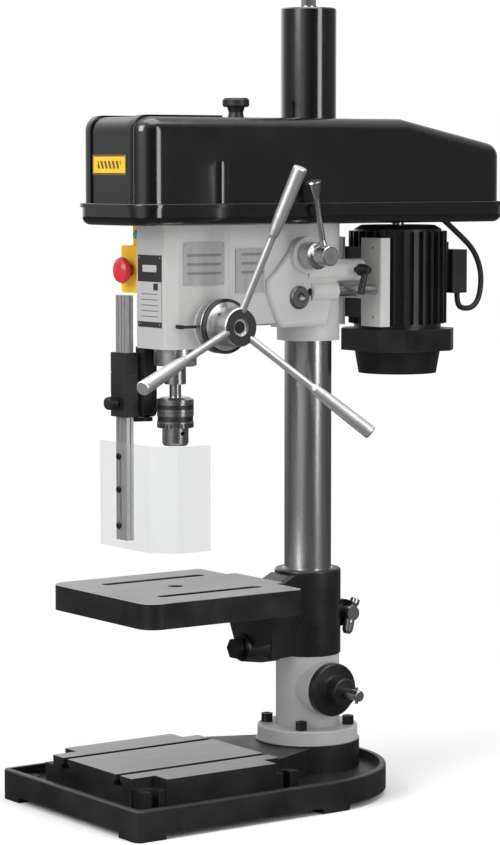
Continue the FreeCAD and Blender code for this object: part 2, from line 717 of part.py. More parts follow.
def drive_belt():
    z = pulley_z0 + 2 * step_h
    mid_r = step_radii[2]
    layers = 4
    body = None
    for i in range(layers):
        r_out = mid_r + 2.0 - i * 1.6
        r_in = r_out - 1.6
        inset = 2.6 + (mid_r + 3.0 - r_in) * 2.6 / 9.0 + 0.45
        layer = belt_loop(r_out, z + inset, z + step_h - inset).cut(
            belt_loop(r_in, z + inset, z + step_h - inset))
        body = layer if body is None else body.fuse(layer)
    return body.removeSplitter()


save("drive_belt", drive_belt())


# ---- motor -------------------------------------------------------------------------------
def motor_frame():
    centre = V(0, motor_y, 0)
    shell = turned([(38.6, 700), (38.6, 812), (10.5, 812), (10.5, 838), (56, 838), (66, 832), (66, 686),
                    (56, 686), (56, 700)], centre)
    fin = box(60, 74.5, -1.6, 1.6, 690, 829)
    fin.translate(centre)
    fins = turn_copies(fin, centre, Z_AXIS, 30, 6)
    pad_front = box(-40, 40, 333, 360, 700, 806)
    pad_rear = box(-30, 30, 462, 482, 742, 812)
    body = fuse(shell, pad_front.cut(cyl(60, centre, 900)), pad_rear.cut(cyl(60, centre, 900)), *fins)
    return body.cut(box(-80, 80, 300, 333, 600, 900))


save("motor_frame", motor_frame())


def motor_shield():
    half, cham = 73.5, 29.0
    y = motor_y
    pts = [(-half, y - half + cham), (-half + cham, y - half), (half - cham, y - half),
           (half, y - half + cham), (half, y + half - cham), (half - cham, y + half),
           (-half + cham, y + half), (-half, y + half - cham)]
    body = prism(pts, 649, 682)
    body = body.fuse(cyl(66, V(0, y, 682), 4)).removeSplitter()
    return body.cut(cyl(10.0, V(0, y, 640), 60)).cut(cyl(50, V(0, y, 660), 30))


save("motor_shield", motor_shield())


def fan_cover():
    body = turned([(0, 614.5), (59, 614.5), (65, 649), (63, 649), (57.2, 617), (0, 617)], V(0, motor_y, 0))
    slot = box(18, 48, -1.8, 1.8, 610, 620)
    slot.translate(V(0, motor_y, 0))
    for cut in turn_copies(slot, V(0, motor_y, 0), Z_AXIS, 24):
        body = body.cut(cut)
    return body


save("fan_cover", fan_cover())


def motor_rotor():
    centre = V(0, motor_y, 0)
    body = turned([(0, 622), (9.3, 622), (9.3, 700), (38.0, 704), (38.0, 808), (9.4, 811), (9.4, 948),
                   (0, 948)], centre)
    disc = cyl(16, V(0, motor_y, 626), 18)
    blade = box(12, 50, -1, 1, 626, 644)
    blade.translate(centre)
    return fuse(body, disc, *turn_copies(blade, centre, Z_AXIS, 8))


save("motor_rotor", motor_rotor())
terminal_box = box(-40, 40, 482, 510, 734, 800)
terminal_box = rounded(terminal_box, 5.0, lambda e: e.BoundBox.YLength > 30)
save("terminal_box", terminal_box)


def motor_plate():
    z0, z1 = 688.0, 820.0
    webs = [box(12, 60, 328, 333, z0, z1), box(-60, -34, 328, 333, z0, z1), box(-60, 60, 328, 333, 729, 757)]
    sides = [box(x, x + 4, 328, 345, z0, z1) for x in (-60, 56)]
    body = fuse(*(webs + sides))
    body = rounded(body, 3.5, lambda e: upright(e) and abs(abs(e.BoundBox.XMin) - 60) < 0.1
                   and e.BoundBox.YMin < 329)
    for sx in (-1, 1):
        body = body.cut(cyl(rod_r, V(sx * rod_x, 320, rod_z), 40, Y_AXIS))
        for z in (702.0, 806.0):
            body = body.cut(cyl(2.4, V(sx * 44.0 - 4.0, 320, z), 40, Y_AXIS))
    return body


save("motor_plate", motor_plate().cut(box(-80, 80, 345.1, 400, 600, 900)))
save("slide_rods", group([cyl(rod_r, V(sx * rod_x, rod_front, rod_z), 333 - rod_front, Y_AXIS)
                          for sx in (-1, 1)]))

# centre line of the lead: corner points (y, z) in the plane x = lead_x, with the bend at each corner
lead_x = 30.0
lead_r = 4.25
lead_corners = [((499, 734), 0), ((499, 717), 9), ((510, 709), 13), ((533, 711), 24), ((545, 731), 30),
                ((547, 766), 44), ((532, 799), 42), ((501, 824), 40), ((472, 845), 0)]


def bent_path(corners):
    edges = []
    last = V(lead_x, *corners[0][0])
    for i in range(1, len(corners)):
        here = V(lead_x, *corners[i][0])
        bend = corners[i][1]
        if bend == 0:
            edges.append(Part.makeLine(last, here))
            continue
        after = V(lead_x, *corners[i + 1][0])
        u = (here - V(lead_x, *corners[i - 1][0])).normalize()
        w = (after - here).normalize()
        half = math.acos(max(-1.0, min(1.0, u.dot(w)))) / 2.0
        reach = bend * math.tan(half)
        p, q = here - u * reach, here + w * reach
        inward = (w - u).normalize()
        mid = here + inward * (bend / math.cos(half) - bend)
        edges.append(Part.makeLine(last, p))
        edges.append(Part.Arc(p, mid, q).toShape())
        last = q
    return Part.Wire(edges)


def swept(path, radius):
    start = path.Vertexes[0].Point
    way = (path.Vertexes[1].Point - start).normalize()
    circle = Part.Wire([Part.makeCircle(radius, start, way)])
    return path.makePipeShell([circle], True, True)


lead_path = bent_path(lead_corners)
lead_bends = [edge.Curve.Radius for edge in lead_path.Edges if edge.Curve.TypeId == "Part::GeomCircle"]
print("lead bends mm", [round(r, 1) for r in lead_bends], "length", round(lead_path.Length, 1))
lead = swept(lead_path, lead_r)
print("lead volume over section x length", round(lead.Volume / (math.pi * lead_r ** 2 * lead_path.Length), 4))
save("motor_lead", lead)


# ---- feed --------------------------------------------------------------------------------
hub_z = feed_z


def feed_shaft():
    body = cyl(9.0, V(-62, feed_y, feed_z), 168, X_AXIS)
    gear = involute_gear(pinion_teeth, pinion_module, 24.0, 0.12)
    gear.rotate(V(0, 0, 0), Z_AXIS, 180.0 / pinion_teeth)
    gear.Placement = FreeCAD.Placement(V(-12, feed_y, feed_z), FreeCAD.Rotation(Y_AXIS, 90)).multiply(
        FreeCAD.Placement(V(0, 0, 0), FreeCAD.Rotation(Z_AXIS, 90 + 180.0 / pinion_teeth)))
    return fuse(body, gear)


save("feed_shaft", feed_shaft())
save("depth_ring", turned([(9.2, 54.4), (39.2, 54.4), (39.2, 66.0), (38.0, 67.5), (9.2, 67.5)],
                          V(0, feed_y, feed_z), X_AXIS))

handle_tilt = math.radians(21.7)
handle_start = 11.66
handle_root_x = 97.0


def handle_frame(shape, k):
    """Turns a part made along +Z at the feed axis to handle number k."""
    s = shape.copy()
    s.rotate(V(0, 0, 0), Y_AXIS, math.degrees(handle_tilt))
    s.rotate(V(0, 0, 0), X_AXIS, -(handle_start + 120.0 * k))
    s.translate(V(handle_root_x, feed_y, feed_z))
    return s


def feed_hub():
    hub = turned([(9.0, 68.0), (39.5, 68.0), (39.5, 74.5), (27.5, 75.5), (27.5, 109.5), (26.0, 111.4),
                  (12.5, 111.4), (12.5, 107), (9.0, 107)], V(0, feed_y, feed_z), X_AXIS)
    for k in range(3):
        hub = hub.cut(handle_frame(cyl(5.5, V(0, 0, 12.5), 60), k))
    for k in range(3):
        hole = cyl(3.0, V(86, 0, 0), 30, Z_AXIS)
        hole.translate(V(0, 0, 20))
        hole.rotate(V(0, 0, 0), X_AXIS, 48.0 + 120.0 * k)
        hole.translate(V(0, feed_y, feed_z))
        hub = hub.cut(hole)
    return hub


save("feed_hub", feed_hub())


def feed_handle():
    rod_end, grip_end = 145.0, 248.0
    return turned([(0, 12.5), (5.5, 12.5), (5.5, 139), (7.6, rod_end), (8.2, 152), (9.2, 172), (10.2, grip_end - 2),
                   (9.0, grip_end), (0, grip_end)], V(0, 0, 0))


save("feed_handles", group([handle_frame(feed_handle(), k) for k in range(3)]))
pointer = fuse(cyl(3.0, V(head_half, -26, feed_z), 14, X_AXIS),
               prism([(56, -30), (60, -30), (60, -6), (58, -2), (56, -6)], feed_z - 2, feed_z + 2))
save("depth_pointer", pointer)
save("spring_cup", turned([(10.0, head_half + 0.0), (27.0, head_half), (27.0, head_half + 24),
                           (25.0, head_half + 27), (0.0, head_half + 27), (0.0, head_half + 24),
                           (24.0, head_half + 24), (24.0, head_half + 3), (10.0, head_half + 3)],
                          V(0, feed_y, feed_z), V(-1, 0, 0)))

# ---- belt tension --------------------------------------------------------------------------
tension_shaft = turned([(0, 40), (9.0, 40), (9.0, 58.5), (19.0, 58.5), (20.0, 59.5), (20.0, 82),
                        (17.5, 85), (14.5, 86), (14.5, 111), (13.5, 112), (0, 112)],
                       V(0, tension_y, tension_z), X_AXIS)
lever_dir = V(0.085, -0.245, 0.966).normalize()
lever_root = V(97, tension_y, tension_z)
lever_hole = cyl(4.5, lever_root, 60, lever_dir)
save("tension_shaft", tension_shaft.cut(lever_hole))


def tension_lever():
    body = turned([(0, 0), (4.5, 0), (4.5, 16), (6.0, 17), (4.6, 24), (4.0, 60), (4.6, 86), (8.5, 99),
                   (11.0, 110), (10.0, 112), (0, 112)], V(0, 0, 0))
    body.Placement = FreeCAD.Placement(lever_root, FreeCAD.Rotation(Z_AXIS, lever_dir))
    return body


save("tension_lever", tension_lever())


def slide_clamp():
    centre = V(58.5, clamp_lever_y, arm_z)
    screw = cyl(5.0 - run_gap, V(44, clamp_lever_y, arm_z), 15, X_AXIS)
    hub = turned([(0, 0), (9.0, 0), (9.0, 7), (7.0, 14), (5.5, 20), (0, 20)], centre, X_AXIS)
    arm = Part.makeCone(4.5, 5.5, 36, centre + V(12, 0, 0), V(0.05, -0.28, -0.96))
    stub = Part.makeCone(5.0, 4.0, 20, centre + V(12, 0, 0), V(0.1, -0.99, 0.05))
    return fuse(screw, hub, arm, stub)


save("slide_clamp", slide_clamp())
head_clamp = turned([(0, 0), (5.9, 0), (5.9, 31.2), (16.8, 31.2), (16.8, 34), (14.5, 36.5), (7, 36.5), (5.5, 34),
                     (0, 33)], V(20, clamp_y, clamp_mid_z), X_AXIS)
save("head_clamp_bolt", head_clamp)

# ---- switch -----------------------------------------------------------------------------------
switch_front = -36.0
button_x, button_z = -62.0, 777.0
start_x, start_z = -52.0, 828.0


def switch_box():
    low = rounded(box(-86, -head_half, switch_front, 14, 744, 812), 4.0,
                  lambda e: e.BoundBox.YLength > 40 and e.BoundBox.XMin < -80)
    high = box(-61, -head_half, switch_front + 4, 10, 808, 842)
    body = fuse(low, high)
    body = body.cut(cyl(8.4, V(button_x, switch_front - 1, button_z), 16, Y_AXIS))
    return body.cut(cyl(6.3, V(start_x, switch_front, start_z), 16, Y_AXIS))


save("switch_box", switch_box())
stop_button = turned([(0, -24), (12, -22.6), (17.5, -19), (19.3, -14), (18, -11), (8, -8), (8, 8), (0, 8)],
                     V(button_x, switch_front, button_z), Y_AXIS)
save("stop_button", stop_button)
start_button = turned([(0, -3), (5.0, -3), (6.0, -2), (6.0, 7), (0, 7)],
                      V(start_x, switch_front + 4, start_z), Y_AXIS)
save("start_button", start_button)

# ---- chuck guard --------------------------------------------------------------------------------
bracket_z0, bracket_half = 564.0, 11.0
pin_r = 4.0


def guard_bracket():
    body = box(pivot_x - bracket_half, pivot_x + bracket_half, pivot_y - bracket_half,
               pivot_y + bracket_half, bracket_z0, head_z0)
    body = rounded(body, 10.5, lambda e: at_height(e, bracket_z0) and e.BoundBox.YLength > 1)
    return body.cut(cyl(pin_r + run_gap, V(pivot_x, pivot_y, bracket_z0 - 1), 62))


save("guard_bracket", guard_bracket())
rail_w, rail_t = 28.0, 12.0
rail_z0, rail_z1 = 385.0, 741.0
block_x0, block_x1, block_y0, block_y1 = -80.0, -42.0, -60.0, -35.2
knob_z = 585.0


def guard_arm():
    body = box(block_x0, block_x1, block_y0, block_y1, 565, 658)
    body = rounded(body, 2.0, upright)
    for z in (595.5, 628.5):
        groove = box(block_x0 - 1, block_x1 + 1, block_y0 - 1, block_y1 + 1, z, z + 1.6)
        body = body.cut(groove.cut(box(block_x0 + 1, block_x1 - 1, block_y0 + 1, block_y1 - 1, z, z + 2)))
    slot = 0.3
    body = body.cut(box(rail_x - rail_w / 2 - slot, rail_x + rail_w / 2 + slot, rail_y - rail_t / 2 - slot,
                        rail_y + rail_t / 2 + slot, 500, 700))
    ear = box(pivot_x - 9, pivot_x + 5, -40, pivot_y, 558, 563.5)
    ear = ear.fuse(cyl(9, V(pivot_x, pivot_y, 558), 5.5))
    link = box(pivot_x - 9, pivot_x + 5, -40, block_y1, 558, 570)
    pin = cyl(pin_r, V(pivot_x, pivot_y, 560), 60)
    body = body.cut(cyl(3.2, V(rail_x - 2, block_y0 - 1, knob_z), 8, Y_AXIS))
    return fuse(body, ear, link, pin)


save("guard_arm", guard_arm())
save("guard_knob", turned([(0, 0), (8.0, 0), (9.2, 2), (9.2, 15), (4.5, 17.7), (3.0, 17.7), (3.0, 23),
                           (0, 23)], V(rail_x - 2, block_y0 - 18, knob_z), Y_AXIS))


def guard_rail():
    body = box(rail_x - rail_w / 2, rail_x + rail_w / 2, rail_y - rail_t / 2, rail_y + rail_t / 2,
               rail_z0, rail_z1)
    for dx in (-7.0, 2.0, 9.5):
        body = body.cut(box(rail_x + dx - 1.5, rail_x + dx + 1.5, rail_y - rail_t / 2 - 1,
                            rail_y - rail_t / 2 + 3.5, rail_z0 - 1, rail_z1 + 1))
    for side in (-1, 1):
        x = rail_x + side * rail_w / 2
        body = body.cut(box(x - 2.5, x + 2.5, rail_y - 2, rail_y + 2, rail_z0 - 1, rail_z1 + 1))
    for z in screw_z:
        body = body.cut(cyl(2.5, V(rail_x - 2.5, rail_y - 7, z), 8, Y_AXIS))
    return body


screw_z = [406.0, 459.0, 507.0]
save("guard_rail", guard_rail())
shield_t = 2.5
shield_z0, shield_z1 = 374.0, 527.0


def guard_shield():
    y0 = rail_y - rail_t / 2 - shield_t
    t = shield_t
    left, bend, right, back = -113.0, 14.5, 45.5, 30.0
    drop = 31.0
    corner = 0.414 * t
    pts = [(left, y0), (bend, y0), (right, y0 + drop), (right, back), (right - t, back),
           (right - t, y0 + drop + corner), (bend - corner, y0 + t), (left, y0 + t)]
    body = prism(pts, shield_z0, shield_z1)
    for z in screw_z:
        body = body.cut(cyl(2.5, V(rail_x - 2.5, y0 - 1, z), 8, Y_AXIS))
    return body


save("guard_shield", guard_shield())
shield_face = rail_y - rail_t / 2 - shield_t
save("guard_screws", group([turned([(0, -3), (4.0, -3), (5.0, -1), (5.0, 0), (2.5, 0), (2.5, 8), (0, 8)],
                                   V(rail_x - 2.5, shield_face, z), Y_AXIS) for z in screw_z]))
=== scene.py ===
import math
import bpy
from mathutils import Matrix, Vector


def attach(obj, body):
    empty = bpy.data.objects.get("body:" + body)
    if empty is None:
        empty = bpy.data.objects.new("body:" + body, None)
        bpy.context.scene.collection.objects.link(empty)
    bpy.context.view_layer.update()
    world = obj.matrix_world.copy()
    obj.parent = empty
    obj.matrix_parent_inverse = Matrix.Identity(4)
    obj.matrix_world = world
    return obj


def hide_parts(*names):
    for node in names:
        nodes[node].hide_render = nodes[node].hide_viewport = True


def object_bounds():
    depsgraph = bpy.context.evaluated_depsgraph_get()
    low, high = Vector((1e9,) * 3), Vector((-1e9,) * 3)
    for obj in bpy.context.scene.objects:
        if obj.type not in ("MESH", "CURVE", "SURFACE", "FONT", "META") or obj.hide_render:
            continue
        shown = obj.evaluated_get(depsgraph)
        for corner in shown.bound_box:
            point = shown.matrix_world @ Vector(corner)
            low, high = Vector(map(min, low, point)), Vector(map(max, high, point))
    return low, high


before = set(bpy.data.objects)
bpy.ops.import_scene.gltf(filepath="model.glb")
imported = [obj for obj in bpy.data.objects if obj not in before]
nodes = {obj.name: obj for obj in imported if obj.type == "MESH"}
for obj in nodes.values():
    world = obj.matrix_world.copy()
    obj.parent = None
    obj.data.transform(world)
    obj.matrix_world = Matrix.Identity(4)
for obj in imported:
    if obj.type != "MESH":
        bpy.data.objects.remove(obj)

cad_low, cad_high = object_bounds()
MM = 0.001


# ---- camera --------------------------------------------------------------------
def place_camera():
    azimuth, pitch = math.radians(54.57), math.radians(5.04)
    data = bpy.data.cameras.new("studio_camera")
    data.lens = 124.1
    data.sensor_width = 36.0
    data.clip_end = 50.0
    camera = bpy.data.objects.new("studio_camera", data)
    bpy.context.scene.collection.objects.link(camera)
    forward = Vector((-math.sin(azimuth) * math.cos(pitch), math.cos(azimuth) * math.cos(pitch),
                      -math.sin(pitch)))
    camera.rotation_mode = "QUATERNION"
    camera.rotation_quaternion = forward.to_track_quat("-Z", "Y")
    camera.location = (3.4742, -2.3396, 0.9273)
    bpy.context.scene.camera = camera


place_camera()


# ---- shader helpers --------------------------------------------------------------
def feed(tree, socket, value):
    if isinstance(value, bpy.types.NodeSocket):
        tree.links.new(value, socket)
    else:
        socket.default_value = value


def add(tree, kind, inputs=None, **settings):
    made = tree.nodes.new(kind)
    for key, value in settings.items():
        setattr(made, key, value)
    for key, value in (inputs or {}).items():
        feed(tree, made.inputs[key], value)
    return made


def calc(tree, operation, a, b=0.0, c=0.0, clamp=False):
    return add(tree, "ShaderNodeMath", {0: a, 1: b, 2: c}, operation=operation, use_clamp=clamp).outputs[0]


def vector_calc(tree, operation, a, b):
    return add(tree, "ShaderNodeVectorMath", {0: a, 1: b}, operation=operation).outputs[0]


def remap(tree, value, low, high, to_low=0.0, to_high=1.0):
    made = add(tree, "ShaderNodeMapRange", {"Value": value, "From Min": low, "From Max": high,
                                            "To Min": to_low, "To Max": to_high})
    return made.outputs["Result"]


def blend_colour(tree, mask, a, b):
    made = add(tree, "ShaderNodeMix", data_type="RGBA")
    feed(tree, made.inputs[0], mask)
    feed(tree, made.inputs[6], a)
    feed(tree, made.inputs[7], b)
    return made.outputs[2]


def blend_value(tree, mask, a, b):
    return add(tree, "ShaderNodeMix", {0: mask, 2: a, 3: b}, data_type="FLOAT").outputs[0]


def place(tree):
    return add(tree, "ShaderNodeTexCoord").outputs["Object"]


def split(tree, vector):
    made = add(tree, "ShaderNodeSeparateXYZ", {0: vector})
    return made.outputs["X"], made.outputs["Y"], made.outputs["Z"]


def noise(tree, vector, scale, detail=3.0, rough=0.5):
    return add(tree, "ShaderNodeTexNoise", {"Vector": vector, "Scale": scale, "Detail": detail,
                                            "Roughness": rough}).outputs["Fac"]


def new_group(name, inputs, outputs):
    tree = bpy.data.node_groups.new(name, "ShaderNodeTree")
    for label, kind, default in inputs:
        socket = tree.interface.new_socket(label, in_out="INPUT", socket_type=kind)
        socket.default_value = default
    for label, kind in outputs:
        tree.interface.new_socket(label, in_out="OUTPUT", socket_type=kind)
    return tree, tree.nodes.new("NodeGroupInput").outputs, tree.nodes.new("NodeGroupOutput").inputs


def use(tree, group_tree, **values):
    made = add(tree, "ShaderNodeGroup", node_tree=group_tree)
    for label, value in values.items():
        feed(tree, made.inputs[label.replace("_", " ").capitalize()], value)
    return made.outputs


FLOAT, VECTOR = "NodeSocketFloat", "NodeSocketVector"


# ---- shared effects ----------------------------------------------------------------
def edge_wear_group():
    """Bare or polished line along corners, broken up so that it comes and goes."""
    tree, given, out = new_group("Edge wear", [("Width", FLOAT, 0.001), ("Patchiness", FLOAT, 0.5),
                                               ("Scale", FLOAT, 60.0)], [("Edge", FLOAT)])
    eased = add(tree, "ShaderNodeBevel", {"Radius": given["Width"]}, samples=4).outputs["Normal"]
    face = add(tree, "ShaderNodeNewGeometry").outputs["Normal"]
    same = add(tree, "ShaderNodeVectorMath", {0: eased, 1: face}, operation="DOT_PRODUCT").outputs["Value"]
    corner = remap(tree, calc(tree, "SUBTRACT", 1.0, same), 0.02, 0.2)
    patch = remap(tree, noise(tree, place(tree), given["Scale"], 4.0, 0.6), 0.35, 0.62)
    lost = calc(tree, "MULTIPLY", given["Patchiness"], calc(tree, "SUBTRACT", 1.0, patch))
    kept = calc(tree, "SUBTRACT", 1.0, lost)
    feed(tree, out["Edge"], calc(tree, "MULTIPLY", corner, kept, clamp=True))
    return tree


def cast_skin_group():
    """Uneven surface of a painted casting: slow waves, grit and a few pits."""
    tree, given, out = new_group("Cast skin", [("Scale", FLOAT, 60.0), ("Pits", FLOAT, 0.3)],
                                 [("Height", FLOAT), ("Tone", FLOAT)])
    where = place(tree)
    waves = noise(tree, where, calc(tree, "MULTIPLY", given["Scale"], 0.35), 2.0)
    grit = noise(tree, where, calc(tree, "MULTIPLY", given["Scale"], 4.0), 5.0, 0.65)
    fine = calc(tree, "MULTIPLY", given["Scale"], 2.0)
    cells = add(tree, "ShaderNodeTexVoronoi", {"Vector": where, "Scale": fine})
    pit = remap(tree, cells.outputs["Distance"], 0.0, 0.22, 1.0, 0.0)
    height = calc(tree, "MULTIPLY_ADD", grit, 0.6, waves)
    feed(tree, out["Height"], calc(tree, "SUBTRACT", height, calc(tree, "MULTIPLY", pit, given["Pits"])))
    feed(tree, out["Tone"], noise(tree, where, calc(tree, "MULTIPLY", given["Scale"], 0.15), 4.0, 0.6))
    return tree


def ground_lines_group():
    """Fine lines left by grinding, along the axis in which Stretch is small."""
    tree, given, out = new_group("Ground lines", [("Stretch", VECTOR, (1, 1, 1)), ("Scale", FLOAT, 400.0)],
                                 [("Height", FLOAT), ("Tone", FLOAT)])
    where = vector_calc(tree, "MULTIPLY", place(tree), given["Stretch"])
    feed(tree, out["Height"], noise(tree, where, given["Scale"], 4.0, 0.7))
    feed(tree, out["Tone"], noise(tree, where, calc(tree, "MULTIPLY", given["Scale"], 0.12), 3.0, 0.6))
    return tree


def turned_marks_group():
    """Tool marks of a lathe: rings about an axis along X through Centre."""
    tree, given, out = new_group(
        "Turned marks",
        [("Centre", VECTOR, (0, 0, 0)), ("Flatten", VECTOR, (0, 1, 1)), ("Scale", FLOAT, 900.0)],
        [("Height", FLOAT), ("Tone", FLOAT)])
    off = vector_calc(tree, "SUBTRACT", place(tree), given["Centre"])
    flat = vector_calc(tree, "MULTIPLY", off, given["Flatten"])
    radius = add(tree, "ShaderNodeVectorMath", {0: flat}, operation="LENGTH").outputs["Value"]
    x, y, z = split(tree, off)
    fx, fy, fz = split(tree, given["Flatten"])
    along = calc(tree, "ADD", calc(tree, "MULTIPLY", x, calc(tree, "SUBTRACT", 1.0, fx)),
                 calc(tree, "MULTIPLY", z, calc(tree, "SUBTRACT", 1.0, fz)))
    pair = add(tree, "ShaderNodeCombineXYZ", {0: radius, 1: along, 2: 0.0}).outputs[0]
    feed(tree, out["Height"], noise(tree, pair, given["Scale"], 3.0, 0.7))
    feed(tree, out["Tone"], noise(tree, place(tree), 40.0, 3.0))
    return tree


def dust_group():
    """Pale dust that settles on faces that look up."""
    tree, given, out = new_group("Dust", [("Amount", FLOAT, 0.3), ("Scale", FLOAT, 30.0)], [("Mask", FLOAT)])
    _, _, up = split(tree, add(tree, "ShaderNodeNewGeometry").outputs["Normal"])
    lying = remap(tree, up, 0.3, 0.95)
    drift = remap(tree, noise(tree, place(tree), given["Scale"], 5.0, 0.65), 0.35, 0.75)
    feed(tree, out["Mask"], calc(tree, "MULTIPLY", calc(tree, "MULTIPLY", lying, drift), given["Amount"]))
    return tree


def moulded_grain_group():
    """Fine pebbled skin of a plastic moulding."""
    tree, given, out = new_group("Moulded grain", [("Scale", FLOAT, 900.0)],
                                 [("Height", FLOAT), ("Tone", FLOAT)])
    cells = add(tree, "ShaderNodeTexVoronoi", {"Vector": place(tree), "Scale": given["Scale"]})
    feed(tree, out["Height"], cells.outputs["Distance"])
    feed(tree, out["Tone"], noise(tree, place(tree), 25.0, 3.0))
    return tree


edge_wear = edge_wear_group()
cast_skin = cast_skin_group()
ground_lines = ground_lines_group()
turned_marks = turned_marks_group()
dust = dust_group()
moulded_grain = moulded_grain_group()


# ---- materials ------------------------------------------------------------------------
def blank(name):
    made = bpy.data.materials.new(name)
    made.use_nodes = True
    tree = made.node_tree
    return made, tree, tree.nodes["Principled BSDF"]


def rgb(r, g, b):
    return (r, g, b, 1.0)


def grey(v):
    return (v, v, v, 1.0)


def bump(tree, bsdf, height, strength, distance):
    made = add(tree, "ShaderNodeBump", {"Height": height, "Strength": strength, "Distance": distance})
    feed(tree, bsdf.inputs["Normal"], made.outputs["Normal"])
    return made


def gloss_enamel(name, tint):
    """Thick shiny black enamel on sheet steel, with orange peel and a few specks of dust."""
    made, tree, bsdf = blank(name)
    skin = use(tree, cast_skin, scale=70.0, pits=0.0)
    wear = use(tree, edge_wear, width=1.2 * MM, patchiness=0.9, scale=45.0)["Edge"]
    specks = use(tree, dust, amount=0.25, scale=90.0)["Mask"]
    base = blend_colour(tree, calc(tree, "MULTIPLY", wear, 0.25), tint, grey(0.06))
    dusty = calc(tree, "MULTIPLY", specks, 0.2)
    feed(tree, bsdf.inputs["Base Color"], blend_colour(tree, dusty, base, grey(0.2)))
    rough = remap(tree, skin["Tone"], 0.3, 0.7, 0.12, 0.26)
    feed(tree, bsdf.inputs["Roughness"], calc(tree, "MULTIPLY_ADD", specks, 0.5, rough))
    bsdf.inputs["Coat Weight"].default_value = 0.6
    bsdf.inputs["Coat Roughness"].default_value = 0.08
    bump(tree, bsdf, skin["Height"], 0.22, 0.6 * MM)
    return made


def cast_enamel(name, tint, ground_above=None, gloss=0.38):
    """Black paint over rough iron; the face above a height is ground bare."""
    made, tree, bsdf = blank(name)
    skin = use(tree, cast_skin, scale=85.0, pits=0.35)
    wear = use(tree, edge_wear, width=1.5 * MM, patchiness=0.75, scale=70.0)["Edge"]
    settled = use(tree, dust, amount=0.5, scale=35.0)["Mask"]
    paint = blend_colour(tree, remap(tree, skin["Tone"], 0.35, 0.7), tint, grey(tint[0] * 2.2))
    paint = blend_colour(tree, calc(tree, "MULTIPLY", wear, 0.35), paint, grey(0.1))
    paint = blend_colour(tree, calc(tree, "MULTIPLY", settled, 0.2), paint, grey(0.12))
    rough = remap(tree, skin["Tone"], 0.3, 0.7, gloss - 0.1, gloss + 0.12)
    height = skin["Height"]
    if ground_above is None:
        feed(tree, bsdf.inputs["Base Color"], paint)
        feed(tree, bsdf.inputs["Roughness"], rough)
        bump(tree, bsdf, height, 0.45, 0.8 * MM)
        return made
    _, _, z = split(tree, place(tree))
    bare = calc(tree, "GREATER_THAN", z, ground_above)
    lines = use(tree, ground_lines, stretch=(1.0, 0.06, 1.0), scale=900.0)
    metal = blend_colour(tree, remap(tree, lines["Tone"], 0.3, 0.7), grey(0.3), grey(0.44))
    feed(tree, bsdf.inputs["Base Color"], blend_colour(tree, bare, paint, metal))
    feed(tree, bsdf.inputs["Metallic"], calc(tree, "MULTIPLY", bare, 0.85))
    steel_rough = remap(tree, lines["Tone"], 0.3, 0.7, 0.34, 0.5)
    feed(tree, bsdf.inputs["Roughness"], blend_value(tree, bare, rough, steel_rough))
    fine = calc(tree, "MULTIPLY", lines["Height"], 0.06)
    bump(tree, bsdf, blend_value(tree, bare, height, fine), 0.45, 0.8 * MM)
    return made


def light_enamel(name, tint):
    """Pale grey machine paint over a filled casting, with a worn line on its corners."""
    made, tree, bsdf = blank(name)
    skin = use(tree, cast_skin, scale=45.0, pits=0.12)
    wear = use(tree, edge_wear, width=1.6 * MM, patchiness=0.6, scale=35.0)["Edge"]
    settled = use(tree, dust, amount=0.6, scale=25.0)["Mask"]
    shade = grey(tint[0] * 0.82)
    paint = blend_colour(tree, remap(tree, skin["Tone"], 0.35, 0.68), tint, shade)
    paint = blend_colour(tree, calc(tree, "MULTIPLY", wear, 0.25), paint, grey(0.78))
    dusty = calc(tree, "MULTIPLY", settled, 0.2)
    feed(tree, bsdf.inputs["Base Color"], blend_colour(tree, dusty, paint, grey(0.36)))
    feed(tree, bsdf.inputs["Roughness"], remap(tree, skin["Tone"], 0.3, 0.7, 0.34, 0.48))
    bump(tree, bsdf, skin["Height"], 0.35, 0.5 * MM)
    return made


def ground_steel(name, tint, stretch, rough=0.26, scale=700.0):
    made, tree, bsdf = blank(name)
    lines = use(tree, ground_lines, stretch=stretch, scale=scale)
    feed(tree, bsdf.inputs["Base Color"],
         blend_colour(tree, remap(tree, lines["Tone"], 0.3, 0.7), tint, grey(tint[0] * 0.8)))
    bsdf.inputs["Metallic"].default_value = 1.0
    feed(tree, bsdf.inputs["Roughness"], remap(tree, lines["Tone"], 0.3, 0.7, rough - 0.05, rough + 0.1))
    bump(tree, bsdf, lines["Height"], 0.12, 0.1 * MM)
    return made


def turned_metal(name, tint, centre, flatten=(0.0, 1.0, 1.0), rough=0.14, dark=None):
    """Bright turned metal; dark is a function of the tree that masks the blackened zones."""
    made, tree, bsdf = blank(name)
    marks = use(tree, turned_marks, centre=centre, flatten=flatten, scale=1100.0)
    wear = use(tree, edge_wear, width=0.7 * MM, patchiness=0.3, scale=80.0)["Edge"]
    colour = blend_colour(tree, remap(tree, marks["Tone"], 0.3, 0.7), tint, grey(tint[0] * 0.86))
    rough_map = remap(tree, marks["Height"], 0.3, 0.7, rough - 0.04, rough + 0.1)
    if dark is not None:
        mask = dark(tree)
        bare = calc(tree, "MULTIPLY", mask, calc(tree, "SUBTRACT", 1.0, calc(tree, "MULTIPLY", wear, 0.7)))
        colour = blend_colour(tree, bare, colour, grey(0.075))
        rough_map = blend_value(tree, mask, rough_map, 0.42)
    feed(tree, bsdf.inputs["Base Color"], colour)
    bsdf.inputs["Metallic"].default_value = 1.0
    feed(tree, bsdf.inputs["Roughness"], rough_map)
    bump(tree, bsdf, marks["Height"], 0.1, 0.1 * MM)
    return made


